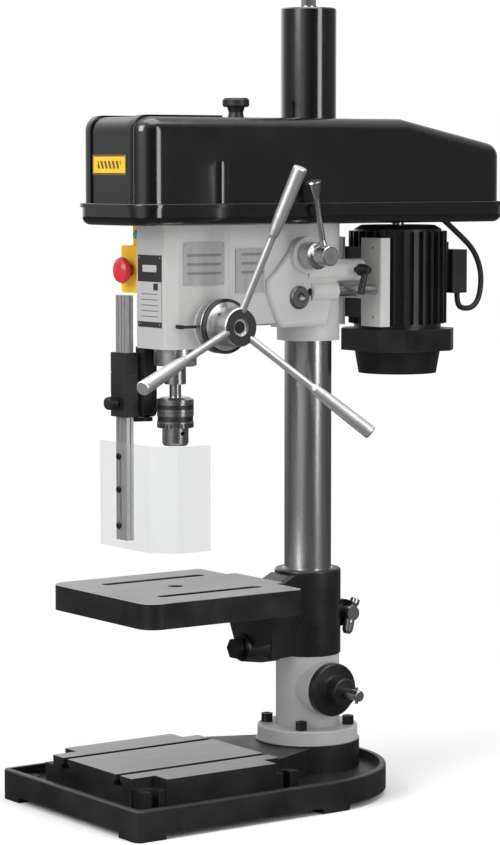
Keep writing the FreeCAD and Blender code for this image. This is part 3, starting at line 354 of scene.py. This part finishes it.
def moulded(name, tint, rough=0.42, shift=1.35):
    made, tree, bsdf = blank(name)
    grain = use(tree, moulded_grain, scale=900.0)
    wear = use(tree, edge_wear, width=0.8 * MM, patchiness=0.4, scale=90.0)["Edge"]
    pale = (min(1, tint[0] * shift), min(1, tint[1] * shift), min(1, tint[2] * shift), 1.0)
    colour = blend_colour(tree, remap(tree, grain["Tone"], 0.3, 0.7), tint, pale)
    edge = tuple(min(1, t * 1.5 + 0.02) for t in tint[:3]) + (1.0,)
    feed(tree, bsdf.inputs["Base Color"], blend_colour(tree, calc(tree, "MULTIPLY", wear, 0.6), colour, edge))
    feed(tree, bsdf.inputs["Roughness"], remap(tree, grain["Tone"], 0.3, 0.7, rough - 0.06, rough + 0.08))
    bump(tree, bsdf, grain["Height"], 0.15, 0.15 * MM)
    return made


def clear_sheet(name):
    """Clear plastic sheet with faint scuffs; its sawn edges look milky."""
    made, tree, bsdf = blank(name)
    scuff = use(tree, ground_lines, stretch=(1.0, 1.0, 0.15), scale=60.0)
    edge = use(tree, edge_wear, width=1.2 * MM, patchiness=0.1, scale=60.0)["Edge"]
    haze = remap(tree, scuff["Tone"], 0.35, 0.7, 0.2, 0.27)
    feed(tree, bsdf.inputs["Base Color"], blend_colour(tree, edge, rgb(0.42, 0.43, 0.435), grey(0.55)))
    feed(tree, bsdf.inputs["Alpha"], blend_value(tree, edge, haze, 0.55))
    feed(tree, bsdf.inputs["Roughness"], remap(tree, scuff["Tone"], 0.35, 0.7, 0.08, 0.2))
    bump(tree, bsdf, scuff["Height"], 0.02, 0.2 * MM)
    return made


def between(tree, value, low, high):
    """1 where a length lies between two limits."""
    above = calc(tree, "GREATER_THAN", value, low)
    return calc(tree, "MULTIPLY", above, calc(tree, "LESS_THAN", value, high))


def stripes(tree, value, pitch, share):
    """1 on a share of each pitch of a length."""
    phase = calc(tree, "FRACT", calc(tree, "DIVIDE", value, pitch))
    return calc(tree, "LESS_THAN", phase, share)


def printed_front():
    """Data plate: dark heading and foot, blank fields and rules between them, no writing."""
    made, tree, bsdf = blank("printed_plates")
    x, y, z = split(tree, place(tree))
    front = calc(tree, "LESS_THAN", y, -40 * MM)
    head = calc(tree, "MAXIMUM", between(tree, z, 762 * MM, 800 * MM), between(tree, z, 697 * MM, 705 * MM))
    rules = calc(tree, "MULTIPLY", between(tree, z, 709 * MM, 750 * MM), stripes(tree, z, 8 * MM, 0.12))
    rules = calc(tree, "MULTIPLY", rules, between(tree, x, -22 * MM, 22 * MM))
    bar = calc(tree, "MULTIPLY", between(tree, z, 776 * MM, 786 * MM), between(tree, x, -18 * MM, 18 * MM))
    block = calc(tree, "MULTIPLY", between(tree, z, 750 * MM, 760 * MM), between(tree, x, 10 * MM, 22 * MM))
    heading = calc(tree, "SUBTRACT", head, bar, clamp=True)
    ink = calc(tree, "MAXIMUM", heading, calc(tree, "MAXIMUM", rules, block))
    front_ink = calc(tree, "MULTIPLY", ink, front)
    side = calc(tree, "SUBTRACT", 1.0, front)
    frame_y = calc(tree, "MAXIMUM", between(tree, y, -10 * MM, 49 * MM), between(tree, y, 86 * MM, 127 * MM))
    rows = stripes(tree, calc(tree, "SUBTRACT", z, 5 * MM), 13 * MM, 0.3)
    side_lines = calc(tree, "MULTIPLY", frame_y, rows)
    side_lines = calc(tree, "MULTIPLY", side_lines, between(tree, z, 764 * MM, 806 * MM))
    side_ink = calc(tree, "MULTIPLY", side, side_lines)
    lines = use(tree, ground_lines, stretch=(1.0, 1.0, 0.08), scale=700.0)
    sheet = blend_colour(tree, side, grey(0.38), grey(0.26))
    sheet = blend_colour(tree, remap(tree, lines["Tone"], 0.3, 0.7, 0.0, 0.3), sheet, grey(0.5))
    inked = blend_colour(tree, front_ink, sheet, grey(0.02))
    faded = calc(tree, "MULTIPLY", side_ink, 0.75)
    feed(tree, bsdf.inputs["Base Color"], blend_colour(tree, faded, inked, grey(0.12)))
    feed(tree, bsdf.inputs["Roughness"], remap(tree, lines["Tone"], 0.3, 0.7, 0.3, 0.45))
    bump(tree, bsdf, lines["Height"], 0.05, 0.1 * MM)
    return made


def printed_badge():
    """Yellow plate with a dark border and slanted bars, no writing."""
    made, tree, bsdf = blank("printed_badge")
    x, _, z = split(tree, place(tree))
    inside_x = between(tree, x, -41 * MM, 41 * MM)
    frame_mask = calc(tree, "MULTIPLY", inside_x, between(tree, z, 917 * MM, 940 * MM))
    bars = calc(tree, "MULTIPLY", between(tree, z, 923 * MM, 934 * MM), between(tree, x, -30 * MM, 30 * MM))
    slanted = calc(tree, "ADD", x, calc(tree, "MULTIPLY", z, 0.4))
    bars = calc(tree, "MULTIPLY", bars, stripes(tree, slanted, 10 * MM, 0.55))
    ink = calc(tree, "MAXIMUM", calc(tree, "SUBTRACT", 1.0, frame_mask), bars)
    grain = use(tree, moulded_grain, scale=500.0)
    faded = remap(tree, grain["Tone"], 0.3, 0.7)
    yellow = blend_colour(tree, faded, rgb(0.82, 0.52, 0.03), rgb(0.72, 0.43, 0.02))
    printed = blend_colour(tree, calc(tree, "MULTIPLY", ink, 0.9), yellow, rgb(0.05, 0.035, 0.01))
    feed(tree, bsdf.inputs["Base Color"], printed)
    feed(tree, bsdf.inputs["Roughness"], remap(tree, grain["Tone"], 0.3, 0.7, 0.28, 0.4))
    pebbles = calc(tree, "MULTIPLY", grain["Height"], 0.1)
    bump(tree, bsdf, calc(tree, "MULTIPLY_ADD", ink, -0.5, pebbles), 0.3, 0.3 * MM)
    return made


feed_axis = (0.0, 38 * MM, 699 * MM)


def hub_dark(tree):
    """The end disc and the collar behind the hub are blackened."""
    x, _, _ = split(tree, place(tree))
    disc = calc(tree, "GREATER_THAN", x, 110.9 * MM)
    return calc(tree, "MAXIMUM", disc, calc(tree, "LESS_THAN", x, 74.9 * MM))


def ring_scale(tree):
    """Graduation lines around the depth ring, longer every tenth."""
    x, y, z = split(tree, place(tree))
    across = calc(tree, "SUBTRACT", y, feed_axis[1])
    angle = calc(tree, "ARCTAN2", across, calc(tree, "SUBTRACT", z, feed_axis[2]))
    turn = calc(tree, "MULTIPLY", angle, 180.0 / math.pi)
    short = calc(tree, "MULTIPLY", stripes(tree, turn, 3.0, 0.22), calc(tree, "GREATER_THAN", x, 62 * MM))
    tenths = stripes(tree, turn, 30.0, 0.035)
    long_ones = calc(tree, "MULTIPLY", tenths, calc(tree, "GREATER_THAN", x, 57 * MM))
    return calc(tree, "MAXIMUM", short, long_ones)


def chuck_dark(tree):
    """The two plain bands between the knurled ones are blackened."""
    _, _, z = split(tree, place(tree))
    upper = between(tree, z, 578.2 * MM, 584.5 * MM)
    lower = between(tree, z, 560.3 * MM, 567.8 * MM)
    return calc(tree, "MAXIMUM", upper, lower)


black_gloss = gloss_enamel("black_gloss_enamel", grey(0.0035))
black_iron = cast_enamel("black_cast_enamel", grey(0.006), gloss=0.32)
bed_iron = cast_enamel("base_enamel_and_ground_bed", grey(0.006), ground_above=71.7 * MM)
table_iron = cast_enamel("table_enamel_and_ground_top", grey(0.006), ground_above=319.2 * MM)
pale_paint = light_enamel("pale_machine_paint", rgb(0.46, 0.46, 0.45))
motor_black = cast_enamel("motor_black_paint", grey(0.005), gloss=0.36)
column_steel = ground_steel("ground_column_steel", grey(0.56), (1.0, 1.0, 0.03), 0.24, 500.0)
bright_steel = ground_steel("bright_steel", grey(0.58), (1.0, 1.0, 0.2), 0.24)
hub_chrome = turned_metal("polished_hub", grey(0.76), feed_axis, rough=0.3, dark=hub_dark)
scale_metal = turned_metal("graduated_ring", grey(0.5), feed_axis, rough=0.3, dark=ring_scale)
handle_chrome = turned_metal("polished_handles", grey(0.86), feed_axis, rough=0.44)
lever_chrome = turned_metal("polished_lever", grey(0.56), (0, 196 * MM, 797 * MM), rough=0.26)
clamp_chrome = turned_metal("polished_clamp", grey(0.5), (0, 296 * MM, 258 * MM), rough=0.26)
chuck_steel = turned_metal("chuck_steel", grey(0.52), (0, 0, 0), (1.0, 1.0, 0.0), 0.2, chuck_dark)
turned_steel = turned_metal("turned_steel", grey(0.5), (0, 0, 0), (1.0, 1.0, 0.0), 0.24)
oiled_steel = turned_metal("blackened_steel", grey(0.05), (0, 183.5 * MM, 735.5 * MM), rough=0.38)
clamp_steel = turned_metal("grey_clamp_steel", grey(0.22), (0, 183.5 * MM, 735.5 * MM), rough=0.34)
rail_metal = ground_steel("drawn_aluminium", grey(0.85), (1.0, 1.0, 0.03), 0.42)
pulley_metal = turned_metal("cast_aluminium_pulley", grey(0.6), (0, 0, 0), (1.0, 1.0, 0.0), 0.32)
black_plastic = moulded("black_moulding", rgb(0.009, 0.009, 0.0095))
box_plastic = moulded("terminal_box_moulding", rgb(0.011, 0.011, 0.0115), 0.5)
yellow_plastic = moulded("yellow_moulding", rgb(0.82, 0.50, 0.01), 0.34, 0.85)
red_plastic = moulded("red_moulding", rgb(0.62, 0.03, 0.035), 0.3, 0.75)
green_plastic = moulded("green_moulding", rgb(0.02, 0.40, 0.22), 0.32, 0.75)
lead_rubber = moulded("lead_sheath", rgb(0.014, 0.014, 0.015), 0.5)
clear_guard = clear_sheet("clear_guard_sheet")
plates = printed_front()
badge = printed_badge()

FINISH = {
    "base_casting": bed_iron, "column_flange": pale_paint, "flange_bolts": oiled_steel,
    "column": column_steel, "crank_flange": black_iron, "crank_shaft": turned_steel,
    "lead_screw": bright_steel,
    "arm_liner": bright_steel, "table_arm": black_iron, "tilt_bolt": oiled_steel,
    "arm_clamp_lever": clamp_chrome, "table": table_iron, "lift_tube": bright_steel,
    "lift_stud": bright_steel, "head_casting": pale_paint, "belt_pan": black_gloss,
    "cover_tube": black_gloss, "depth_pointer": oiled_steel, "spring_cup": black_plastic,
    "label_plates": plates, "switch_box": yellow_plastic, "drive_belt": lead_rubber,
    "head_clamp_bolt": clamp_steel, "guard_bracket": black_plastic, "slide_clamp": black_plastic,
    "belt_lid": black_gloss, "lid_knob": black_plastic, "badge_plate": badge, "quill": bright_steel,
    "quill_bearings": bright_steel, "spindle": turned_steel, "arbor": turned_steel,
    "chuck_body": chuck_steel, "chuck_sleeve": chuck_steel, "chuck_jaw_1": oiled_steel,
    "chuck_jaw_2": oiled_steel, "chuck_jaw_3": oiled_steel, "spindle_pulley": pulley_metal,
    "motor_plate": pale_paint, "slide_rods": bright_steel, "motor_frame": motor_black,
    "motor_shield": motor_black, "fan_cover": motor_black, "terminal_box": box_plastic,
    "motor_lead": lead_rubber, "motor_rotor": bright_steel, "motor_pulley": pulley_metal,
    "feed_shaft": oiled_steel, "feed_hub": hub_chrome, "depth_ring": scale_metal,
    "feed_handles": handle_chrome, "tension_shaft": lever_chrome, "tension_lever": lever_chrome,
    "guard_arm": black_plastic, "guard_knob": black_plastic, "guard_rail": rail_metal,
    "guard_screws": oiled_steel, "guard_shield": clear_guard, "stop_button": red_plastic,
    "start_button": green_plastic,
}
for name, finish in FINISH.items():
    for place_in_list in nodes[name].material_slots:
        place_in_list.material = finish


# ---- geometry nodes helpers ------------------------------------------------------------
def new_maker(name, inputs):
    tree = bpy.data.node_groups.new(name, "GeometryNodeTree")
    for label, kind, default in inputs:
        socket = tree.interface.new_socket(label, in_out="INPUT", socket_type=kind)
        if default is not None:
            socket.default_value = default
    tree.interface.new_socket("Geometry", in_out="OUTPUT", socket_type="NodeSocketGeometry")
    return tree, tree.nodes.new("NodeGroupInput").outputs, tree.nodes.new("NodeGroupOutput").inputs


def close_maker(tree, given, out, points, shape, rotation):
    """Puts shape on the points, places the lot and gives it its material."""
    spread = add(tree, "GeometryNodeInstanceOnPoints",
                 {"Points": points, "Instance": shape, "Rotation": rotation})
    moved = add(tree, "GeometryNodeTransform", {"Geometry": spread.outputs[0], "Translation": given["Centre"],
                                                "Rotation": given["Turn"]})
    real = add(tree, "GeometryNodeRealizeInstances", {"Geometry": moved.outputs[0]})
    done = add(tree, "GeometryNodeSetMaterial", {"Geometry": real.outputs[0], "Material": given["Finish"]})
    feed(tree, out["Geometry"], done.outputs[0])
    return tree


PLACED = [("Centre", VECTOR, (0, 0, 0)), ("Turn", "NodeSocketRotation", None),
          ("Finish", "NodeSocketMaterial", None)]


def rib_ring_maker():
    """Ribs around an axis, each leaning by Lean: knurling, grip ribs, fins."""
    tree, given, out = new_maker("Ring of ribs", [
        ("Count", "NodeSocketInt", 40), ("Radius", FLOAT, 0.02),
        ("Rib", VECTOR, (0.001, 0.001, 0.01)), ("Lean", FLOAT, 0.0)] + PLACED)
    circle = add(tree, "GeometryNodeMeshCircle", {"Vertices": given["Count"], "Radius": given["Radius"]})
    rib = add(tree, "GeometryNodeMeshCube", {"Size": given["Rib"]})
    index = add(tree, "GeometryNodeInputIndex").outputs[0]
    step = calc_geo(tree, "DIVIDE", 2 * math.pi, given["Count"])
    angle = calc_geo(tree, "MULTIPLY", index, step)
    euler = add(tree, "ShaderNodeCombineXYZ", {0: given["Lean"], 1: 0.0, 2: angle}).outputs[0]
    return close_maker(tree, given, out, circle.outputs[0], rib.outputs[0], euler)


def rivet_maker():
    """A domed rivet head in each corner of a plate."""
    tree, given, out = new_maker("Corner rivets", [
        ("Width", FLOAT, 0.05), ("Height", FLOAT, 0.05), ("Head", FLOAT, 0.0015)] + PLACED)
    grid = add(tree, "GeometryNodeMeshGrid", {"Size X": given["Width"], "Size Y": given["Height"],
                                              "Vertices X": 2, "Vertices Y": 2})
    ball = add(tree, "GeometryNodeMeshUVSphere", {"Segments": 12, "Rings": 6, "Radius": given["Head"]})
    flat = add(tree, "GeometryNodeTransform", {"Geometry": ball.outputs[0], "Scale": (1.0, 1.0, 0.5)})
    return close_maker(tree, given, out, grid.outputs[0], flat.outputs[0], (0.0, 0.0, 0.0))


def calc_geo(tree, operation, a, b):
    return add(tree, "ShaderNodeMath", {0: a, 1: b}, operation=operation).outputs[0]


def grow(name, tree, body, values):
    """Runs a maker and keeps the result as a plain mesh that rides on a body."""
    seed = bpy.data.objects.new(name + "_seed", bpy.data.meshes.new(name + "_seed"))
    bpy.context.scene.collection.objects.link(seed)
    modifier = seed.modifiers.new("maker", "NODES")
    modifier.node_group = tree
    for item in tree.interface.items_tree:
        if item.in_out == "INPUT" and item.name in values:
            modifier[item.identifier] = values[item.name]
    bpy.context.view_layer.update()
    evaluated = seed.evaluated_get(bpy.context.evaluated_depsgraph_get())
    mesh = bpy.data.meshes.new_from_object(evaluated)
    bpy.data.objects.remove(seed)
    piece = bpy.data.objects.new(name, mesh)
    bpy.context.scene.collection.objects.link(piece)
    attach(piece, body)
    return piece


rib_ring = rib_ring_maker()
rivets = rivet_maker()
side_turn = (0.0, math.pi / 2, 0.0)
front_turn = (math.pi / 2, 0.0, 0.0)

for label, body, z0, z1 in (("upper", "spindle", 585.6, 591.0), ("lower", "chuck_sleeve", 568.6, 576.8)):
    for side in (-1, 1):
        grow("chuck_knurl_%s_%s" % (label, "left" if side < 0 else "right"), rib_ring, body,
             {"Count": 72, "Radius": 26.35 * MM, "Rib": (0.5 * MM, 0.7 * MM, (z1 - z0) * 1.05 * MM),
              "Lean": side * 0.35, "Centre": (0, 0, (z0 + z1) / 2 * MM), "Finish": chuck_steel})
grow("guard_knob_ribs", rib_ring, "guard_knob",
     {"Count": 18, "Radius": 9.1 * MM, "Rib": (0.8 * MM, 1.2 * MM, 12.0 * MM),
      "Centre": (-62 * MM, -69.5 * MM, 585 * MM), "Turn": front_turn, "Finish": black_plastic})
grow("lid_knob_ribs", rib_ring, "lid",
     {"Count": 36, "Radius": 19.1 * MM, "Rib": (0.7 * MM, 1.4 * MM, 7.0 * MM),
      "Centre": (0, 107 * MM, 1018 * MM), "Finish": black_plastic})
grow("front_plate_rivets", rivets, "head",
     {"Width": 52 * MM, "Height": 95 * MM, "Head": 1.6 * MM, "Centre": (0, -44.2 * MM, 748.5 * MM),
      "Turn": front_turn, "Finish": turned_steel})
grow("side_plate_rivets", rivets, "head",
     {"Width": 54 * MM, "Height": 64 * MM, "Head": 1.6 * MM, "Centre": (45.2 * MM, 19.5 * MM, 787.5 * MM),
      "Turn": side_turn, "Finish": turned_steel})
grow("badge_rivets", rivets, "lid",
     {"Width": 82 * MM, "Height": 23 * MM, "Head": 1.3 * MM, "Centre": (0, -111.5 * MM, 928.5 * MM),
      "Turn": front_turn, "Finish": turned_steel})


# ---- motor lead ---------------------------------------------------------------------------
def motor_lead():
    """Lead from the terminal box up into the belt cover, along (y, z) points in one plane."""
    x = 30 * MM
    diameter = 8.5 * MM
    route = [(499, 734), (499, 717), (510, 709), (533, 711), (545, 731), (547, 766), (532, 799),
             (501, 824), (472, 845)]
    data = bpy.data.curves.new("motor_lead_sheath", "CURVE")
    data.dimensions = "3D"
    data.bevel_depth = diameter / 2
    data.bevel_resolution = 6
    data.use_fill_caps = True
    spline = data.splines.new("NURBS")
    spline.points.add(len(route) - 1)
    for point, (y, z) in zip(spline.points, route):
        point.co = (x, y * MM, z * MM, 1.0)
    spline.order_u = 3
    spline.use_endpoint_u = True
    spline.resolution_u = 12
    data.materials.append(lead_rubber)
    piece = bpy.data.objects.new("motor_lead_sheath", data)
    bpy.context.scene.collection.objects.link(piece)
    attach(piece, "motor")
    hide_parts("motor_lead")


motor_lead()


# ---- studio -----------------------------------------------------------------------------------
def studio():
    """Pale floor that fades to white, white surroundings with dark and light cards, three soft lamps."""
    made, tree, bsdf = blank("pale_floor")
    x, y, _ = split(tree, place(tree))
    away = calc(tree, "SQRT", calc(tree, "ADD", calc(tree, "POWER", x, 2.0), calc(tree, "POWER", y, 2.0)))
    far = remap(tree, away, 0.5, 1.5)
    path = add(tree, "ShaderNodeLightPath").outputs
    seen = calc(tree, "MAXIMUM", path["Is Camera Ray"], path["Is Transmission Ray"])
    tone = blend_colour(tree, noise(tree, place(tree), 3.0, 2.0), grey(0.9), grey(0.94))
    near = blend_colour(tree, calc(tree, "MULTIPLY", far, seen), tone, grey(0.0))
    feed(tree, bsdf.inputs["Base Color"], blend_colour(tree, path["Is Glossy Ray"], near, grey(0.1)))
    feed(tree, bsdf.inputs["Emission Color"],
         blend_colour(tree, calc(tree, "MULTIPLY", far, seen), grey(0.0), grey(1.0)))
    bsdf.inputs["Emission Strength"].default_value = 1.0
    bsdf.inputs["Specular IOR Level"].default_value = 0.0
    bsdf.inputs["Roughness"].default_value = 0.8
    mesh = bpy.data.meshes.new("studio_floor")
    half = 12.0
    mesh.from_pydata([(-half, -half, 0), (half, -half, 0), (half, half, 0), (-half, half, 0)], [],
                     [(0, 1, 2, 3)])
    mesh.materials.append(made)
    floor = bpy.data.objects.new("studio_floor", mesh)
    floor.location.z = cad_low.z - 0.0005
    bpy.context.scene.collection.objects.link(floor)

    world = bpy.data.worlds.new("studio_world")
    bpy.context.scene.world = world
    world.use_nodes = True
    tree = world.node_tree
    background = tree.nodes["Background"]
    way = add(tree, "ShaderNodeTexCoord").outputs["Generated"]
    x, y, z = split(tree, way)
    left = calc(tree, "ADD", calc(tree, "MULTIPLY", x, -0.58), calc(tree, "MULTIPLY", y, -0.815))
    behind = calc(tree, "ADD", calc(tree, "MULTIPLY", x, -0.815), calc(tree, "MULTIPLY", y, 0.58))
    cards = add(tree, "ShaderNodeValToRGB", {"Fac": calc(tree, "MULTIPLY_ADD", left, 0.5, 0.5)})
    ramp = cards.color_ramp
    for at, level in ((0.06, 0.17), (0.15, 0.06), (0.42, 0.08), (0.6, 0.3), (0.7, 1.0), (0.88, 0.9)):
        ramp.elements.new(at).color = grey(level)
    ramp.elements[0].color = grey(0.2)
    ramp.elements[-1].color = grey(0.25)
    lifted = calc(tree, "ADD", calc(tree, "MULTIPLY", remap(tree, behind, 0.55, 0.95), 0.6),
                  calc(tree, "MULTIPLY", remap(tree, z, 0.45, 0.8), 0.7))
    shown = calc(tree, "ADD", cards.outputs["Color"], lifted)
    path = add(tree, "ShaderNodeLightPath").outputs
    level = blend_value(tree, path["Is Glossy Ray"], 0.55, shown)
    seen = calc(tree, "MAXIMUM", path["Is Camera Ray"], path["Is Transmission Ray"])
    feed(tree, background.inputs["Color"], grey(1.0))
    feed(tree, background.inputs["Strength"], blend_value(tree, seen, level, 1.0))

    def lamp(name, at, aim, size, power, tall=None):
        data = bpy.data.lights.new(name, "AREA")
        data.shape = "RECTANGLE"
        data.size = size
        data.size_y = tall or size
        data.energy = power
        obj = bpy.data.objects.new(name, data)
        obj.location = at
        obj.rotation_mode = "QUATERNION"
        obj.rotation_quaternion = (Vector(aim) - Vector(at)).to_track_quat("-Z", "Y")
        bpy.context.scene.collection.objects.link(obj)

    lamp("key_softbox", (0.6, -3.4, 2.4), (0, 0.1, 0.6), 1.6, 95, 2.2)
    lamp("side_softbox", (3.4, 0.9, 1.6), (0, 0.2, 0.6), 1.0, 45, 2.4)
    lamp("top_softbox", (0.4, 0.2, 3.4), (0, 0.1, 0.6), 2.4, 60)
    bpy.context.scene.view_settings.view_transform = "Standard"


studio()
